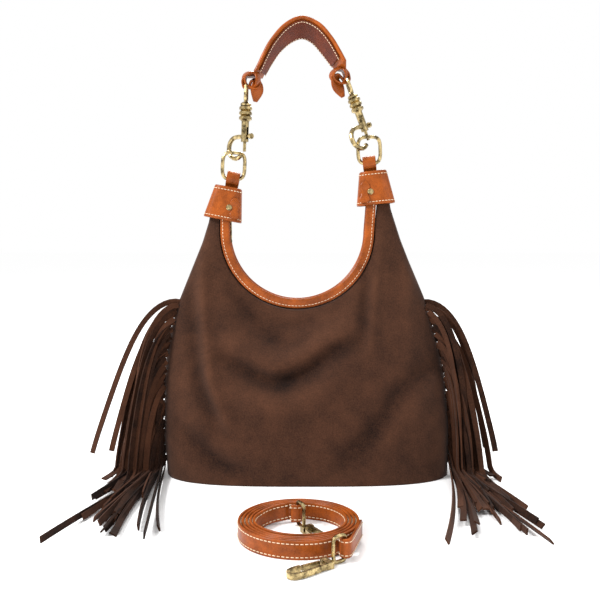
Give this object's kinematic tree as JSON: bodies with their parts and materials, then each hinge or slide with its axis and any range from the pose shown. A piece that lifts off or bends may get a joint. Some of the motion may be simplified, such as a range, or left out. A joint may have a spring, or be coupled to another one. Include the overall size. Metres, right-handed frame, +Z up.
{
  "type": "fringed hobo bag",
  "caption": "Slouchy suede hobo bag with long side fringe, a clip-on padded handle, a zipped curved mouth and a coiled shoulder strap on the floor in front.",
  "frame": {"origin": "middle of the bag's flat base, on the floor", "axes": "+Z up, the front of the bag faces -Y, +X to the viewer's right"},
  "size_m": [0.5347, 0.4162, 0.5663],
  "materials": {
    "suede": "napped dark brown suede",
    "tan_leather": "glossy waxed tan leather",
    "lining_leather": "smooth red-brown leather",
    "lining_cloth": "plain woven cotton",
    "board": "plain",
    "zip_tape": "woven tape with metal teeth",
    "antique_brass": "antiqued, dark in the hollows",
    "spring_steel": "plain"
  },
  "bodies": {
    "bag": {"suede_body": "suede", "base_board": "board", "lining": "lining_cloth", "rim_front": "tan_leather", "rim_back": "tan_leather", "zip_tape_front": "zip_tape", "zip_tape_back": "zip_tape", "cuff_left": "tan_leather", "cuff_right": "tan_leather", "ring_loop_left": "tan_leather", "ring_loop_right": "tan_leather", "rivet_left": "antique_brass", "rivet_right": "antique_brass", "fringe_left": "suede", "fringe_right": "suede"},
    "slider": {"zip_slider": "antique_brass"},
    "pull": {"zip_pull": "antique_brass"},
    "handle": {"handle_strap": "tan_leather", "handle_lining": "lining_leather", "ring_left": "antique_brass", "ring_right": "antique_brass", "swivel_eye_left": "antique_brass", "swivel_eye_right": "antique_brass"},
    "snap_left": {"snap_body_left": "antique_brass", "snap_spring_left": "spring_steel"},
    "bolt_left": {"snap_bolt_left": "antique_brass"},
    "snap_right": {"snap_body_right": "antique_brass", "snap_spring_right": "spring_steel"},
    "bolt_right": {"snap_bolt_right": "antique_brass"},
    "strap": {"shoulder_strap": "tan_leather", "strap_hook_eye_a": "antique_brass", "strap_hook_eye_b": "antique_brass"},
    "hook_a": {"strap_hook_a": "antique_brass"},
    "gate_a": {"strap_gate_a": "antique_brass"},
    "hook_b": {"strap_hook_b": "antique_brass"},
    "gate_b": {"strap_gate_b": "antique_brass"}
  },
  "joints": [
    {"name": "handle_swing", "type": "hinge", "parent": "bag", "child": "handle", "pos_m": [-0.008, 0, 0.37875], "axis": [0.9936, 0, 0.1127], "range_deg": [-95, 95]},
    {"name": "snap_turn_left", "type": "hinge", "parent": "handle", "child": "snap_left", "pos_m": [-0.0783, -0.0095, 0.4141], "axis": [0.0366, 0, 0.9993], "range_deg": [-6, 8]},
    {"name": "snap_bolt_slide_left", "type": "slide", "parent": "snap_left", "child": "bolt_left", "axis": [0.0366, 0, 0.9993], "range_m": [0, 0.008], "stiffness_N_per_m": 250, "springref_m": -0.004, "deforming": ["snap_spring_left"]},
    {"name": "snap_turn_right", "type": "hinge", "parent": "handle", "child": "snap_right", "pos_m": [0.0731, 0.008, 0.4298], "axis": [-0.3502, 0, 0.9367], "range_deg": [-1.5, 8]},
    {"name": "snap_bolt_slide_right", "type": "slide", "parent": "snap_right", "child": "bolt_right", "axis": [-0.3502, 0, 0.9367], "range_m": [0, 0.008], "stiffness_N_per_m": 250, "springref_m": -0.004, "deforming": ["snap_spring_right"]},
    {"name": "zip_slide", "type": "hinge", "parent": "bag", "child": "slider", "pos_m": [-0.013, 0, 0.303], "axis": [0, -1, 0], "range_deg": [0, 183]},
    {"name": "zip_pull_swing", "type": "hinge", "parent": "slider", "child": "pull", "pos_m": [-0.09673, 0, 0.31928], "axis": [0, -1, 0], "range_deg": [0, 55]},
    {"name": "strap_lift", "type": "slide", "parent": "bag", "child": "strap", "axis": [0, 0, 1], "range_m": [0, 0.15]},
    {"name": "hook_swivel_a", "type": "hinge", "parent": "strap", "child": "hook_a", "pos_m": [0.02, -0.301, 0.0035], "axis": [-0.8191, -0.5736, 0], "continuous": true},
    {"name": "gate_open_a", "type": "hinge", "parent": "hook_a", "child": "gate_a", "pos_m": [0.00825, -0.3041, 0.0035], "axis": [0, 0, 1], "range_deg": [0, 20], "stiffness_Nm_per_rad": 0.02, "springref_deg": -11.46},
    {"name": "hook_swivel_b", "type": "hinge", "parent": "strap", "child": "hook_b", "pos_m": [-0.0052, -0.2175, 0.0035], "axis": [0.4695, -0.8829, 0], "continuous": true},
    {"name": "gate_open_b", "type": "hinge", "parent": "hook_b", "child": "gate_b", "pos_m": [-0.00356, -0.22954, 0.0035], "axis": [0, 0, 1], "range_deg": [0, 20], "stiffness_Nm_per_rad": 0.02, "springref_deg": -11.46}
  ]
}
